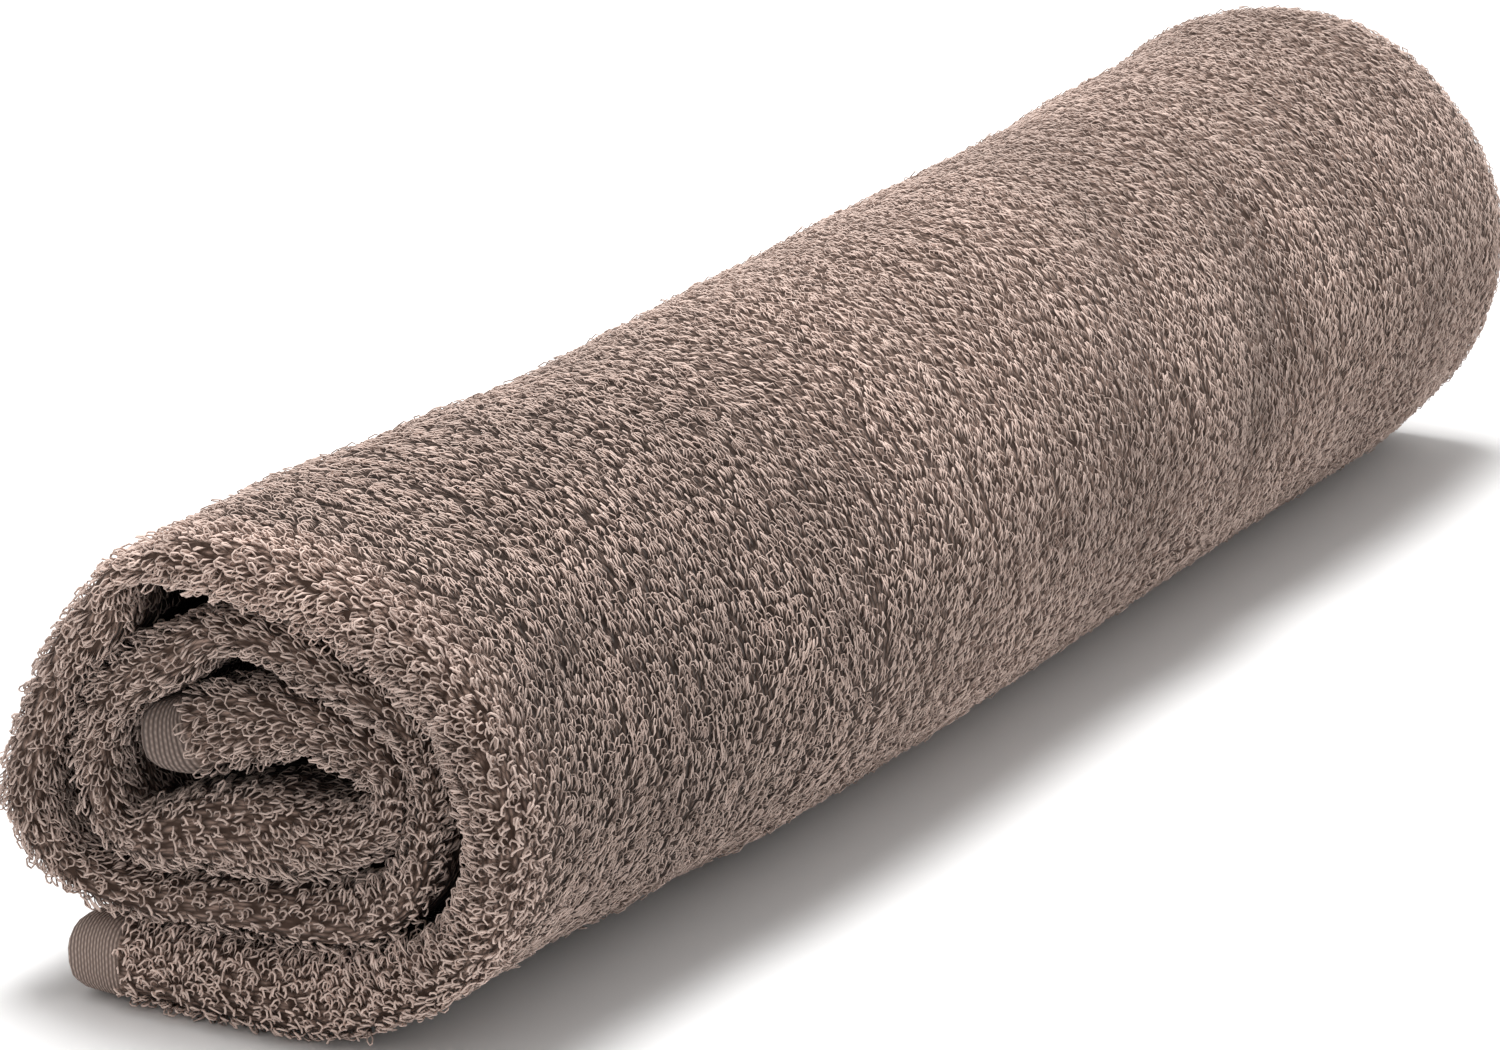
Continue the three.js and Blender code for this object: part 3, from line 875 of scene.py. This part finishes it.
# %% Shader sockets in Python sums
class Wire:
    """An output socket in a material. Sums of wires and numbers add Math nodes."""

    def __init__(self, tree, socket=None):
        self.tree, self.socket = tree, socket

    def node(self, kind, settings, values, output=0):
        """A new node: its settings first, then a number, a colour or a wire for its sockets."""
        made = self.tree.nodes.new(kind)
        for name, setting in settings.items():
            setattr(made, name, setting)
        for name, value in values.items():
            if isinstance(value, Wire):
                self.tree.links.new(value.socket, made.inputs[name])
            else:
                made.inputs[name].default_value = value
        return Wire(self.tree, made.outputs[output])

    def combine(self, operation, first, second):
        return self.node("ShaderNodeMath", {"operation": operation}, {0: first, 1: second})

    def __add__(self, other):
        return self.combine("ADD", self, other)

    def __sub__(self, other):
        return self.combine("SUBTRACT", self, other)

    def __rsub__(self, other):
        return self.combine("SUBTRACT", other, self)

    def __mul__(self, other):
        return self.combine("MULTIPLY", self, other)

    __radd__, __rmul__ = __add__, __mul__

    def cosine(self):
        return self.node("ShaderNodeMath", {"operation": "COSINE"}, {0: self})

    def eased(self, low, high):
        """0 up to low, 1 from high, and eased between them."""
        limits = {"Value": self, "From Min": low, "From Max": high}
        return self.node("ShaderNodeMapRange", {"interpolation_type": "SMOOTHSTEP"}, limits)

    def mixed(self, first, second):
        """The first colour where this is 0, the second where it is 1."""
        values = {0: self, 6: first, 7: second}
        return self.node("ShaderNodeMix", {"data_type": "RGBA"}, values, 2)

    def scaled(self, share):
        """This colour times a number."""
        values = {0: self, "Scale": share}
        return self.node("ShaderNodeVectorMath", {"operation": "SCALE"}, values)


def finish(name):
    """A new material, its shader, and a wire to start sums from."""
    material = bpy.data.materials.new(name)
    material.use_nodes = True
    return material, material.node_tree.nodes["Principled BSDF"], Wire(material.node_tree)


def colour(red, green, blue):
    return red, green, blue, 1


# %% The yarn of the loops
# The yarn is painted dark at each loop's foot and pale at its head: painted shade low in the
# pile, where the loops crowd together.
YARN_ROOT_SHADE, YARN_TIP = colour(0.09, 0.053, 0.039), colour(0.655, 0.51, 0.446)
ROOT_TO_TIP = (0.05, 0.7)
DARKEST, TONE_RANGE, FIBRE_RANGE = 0.68, 0.5, 0.14
FIBRE_SCALE, FIBRE_DETAIL, FIBRE_DEPTH, FIBRE_STRENGTH = 3800, 2, 5e-5, 0.5
SMOOTHEST, ROUGHER = 0.78, 0.16
SHEEN, SHEEN_ROUGHNESS, YARN_SPECULAR = 0.06, 0.5, 0.25

yarn, shader, start = finish("terry_yarn")
tone_and_shade_wire, tip_wire = (
    start.node("ShaderNodeAttribute", {"attribute_name": kind}, {}, "Fac")
    for kind in ("tone_and_shade", "tip")
)
noise = {
    "Vector": start.node("ShaderNodeTexCoord", {}, {}, "Object"),
    "Scale": FIBRE_SCALE,
    "Detail": FIBRE_DETAIL,
}
fibres = start.node("ShaderNodeTexNoise", {}, noise)
# Painted shade from foot to head, scaled by each loop's paleness with its painted light and
# shade.
body = tip_wire.eased(*ROOT_TO_TIP).mixed(YARN_ROOT_SHADE, YARN_TIP)
body = body.scaled(tone_and_shade_wire * TONE_RANGE + DARKEST + fibres * FIBRE_RANGE)
hairs = {"Height": fibres, "Strength": FIBRE_STRENGTH, "Distance": FIBRE_DEPTH}
hairs = start.node("ShaderNodeBump", {}, hairs)
start.tree.links.new(body.socket, shader.inputs["Base Color"])
start.tree.links.new((fibres * ROUGHER + SMOOTHEST).socket, shader.inputs["Roughness"])
start.tree.links.new(hairs.socket, shader.inputs["Normal"])
shader.inputs["Sheen Weight"].default_value = SHEEN
shader.inputs["Sheen Roughness"].default_value = SHEEN_ROUGHNESS
shader.inputs["Specular IOR Level"].default_value = YARN_SPECULAR
for piece in pile:
    piece.data.materials.append(yarn)
print("Yarn finish:", len(start.tree.nodes), "nodes on", len(pile), "pieces")

# %% The ground between the loops
# Seen from above, the heads of loops: paler cells, longer round the roll than along it. The
# ground is painted much darker than the yarn, a painted shade deep in the pile, darkest
# between the cells.
GROUND_SHADE, GROUND_LIGHT = colour(0.05, 0.03, 0.022), colour(0.3, 0.208, 0.17)
HEAD_SCALE, HEAD_STRETCH, HEAD_EDGE = 1.3, 0.45, (0.1, 0.75)
# Between the loops the painted shade is lightest at the rims and darkest in the furrows of
# the near half. The distances from the near fold are squared, which leaves their sign out.
AT_RIM, NEAR_HALF_SHADE, FAR_HALF_PALER = 1.3, 0.75, 0.65
DARKENS, PALES_AGAIN = (50, 300), (45**2, 150**2)

ground, shader, start = finish("terry_ground")
cloth = start.node("ShaderNodeUVMap", {"uv_map": "cloth_mm"}, {})
round_mm = start.node("ShaderNodeSeparateXYZ", {}, {"Vector": cloth})
along_mm = Wire(start.tree, round_mm.socket.node.outputs["Y"])
stretched = {"X": round_mm * HEAD_STRETCH, "Y": along_mm}
stretched = start.node("ShaderNodeCombineXYZ", {}, stretched)
heads = {"Vector": stretched, "Scale": HEAD_SCALE}
heads = 1 - start.node("ShaderNodeTexVoronoi", {"feature": "F1"}, heads).eased(*HEAD_EDGE)
squared = along_mm * along_mm
# How much painted shade the ground has, by distance from the near fold.
shade = AT_RIM - squared.eased(*DARKENS) * NEAR_HALF_SHADE
shade = shade + squared.eased(*PALES_AGAIN) * FAR_HALF_PALER
pile_in_shade = heads.mixed(GROUND_SHADE, GROUND_LIGHT).scaled(shade)
print("Ground between the loops:", len(start.tree.nodes), "nodes")

# %% The woven edges
EDGE_DARK, EDGE_LIGHT = colour(0.13, 0.094, 0.08), colour(0.52, 0.4, 0.345)
# Ribs along the edge, broken into dashes, in mm.
RIB, DASH, DASH_SHARE = 0.56, 1.0, 0.25
EDGE_BEGINS = (-0.6, 0.2)
# The free edge lies out in the light and is painted the paler of the two, a painted light;
# the inner one is painted darker, a painted shade.
FREE_EDGE_SHADE, INNER_EDGE_SHADE, EDGE_SHADES = 1.15, 0.5, (100, 300)
RIB_HEIGHT, RELIEF_STRENGTH, RELIEF_DEPTH = 0.35, 0.8, 8e-4
GROUND_ROUGHNESS, GROUND_SPECULAR = 0.92, 0.2

weave = (round_mm * (2 * math.pi / RIB)).cosine() * 0.5 + 0.5
dashes = (round_mm * (math.pi / RIB)).cosine() * (along_mm * (2 * math.pi / DASH)).cosine()
ribs = weave * (dashes * DASH_SHARE + (1 - DASH_SHARE))
past_strips = {0: round_mm - FREE_SELVEDGE, 1: float(inner_strip) - round_mm}
past_strip = start.node("ShaderNodeMath", {"operation": "MINIMUM"}, past_strips)
edge = 1 - past_strip.eased(*EDGE_BEGINS)
# Painted light on the free edge, painted shade on the inner one.
shade = FREE_EDGE_SHADE - round_mm.eased(*EDGE_SHADES) * INNER_EDGE_SHADE
edge_like = ribs.mixed(EDGE_DARK, EDGE_LIGHT).scaled(shade)
start.tree.links.new(edge.mixed(pile_in_shade, edge_like).socket, shader.inputs["Base Color"])
relief = heads * (1 - edge) + ribs * edge * RIB_HEIGHT
relief = {"Height": relief, "Strength": RELIEF_STRENGTH, "Distance": RELIEF_DEPTH}
relief = start.node("ShaderNodeBump", {}, relief)
start.tree.links.new(relief.socket, shader.inputs["Normal"])
shader.inputs["Roughness"].default_value = GROUND_ROUGHNESS
shader.inputs["Sheen Weight"].default_value = SHEEN
shader.inputs["Specular IOR Level"].default_value = GROUND_SPECULAR
towel.data.materials.append(ground)
print("Ground and edges:", len(start.tree.nodes), "nodes")

# %% [markdown]
# ## Hand the pieces over
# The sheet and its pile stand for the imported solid, which stays in the physics model.

# %% What each piece rides on and stands for
for piece in [towel, *pile]:
    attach(piece, "root")
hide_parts("rolled_towel")
print("Handed over:", [piece.name for piece in [towel, *pile]])
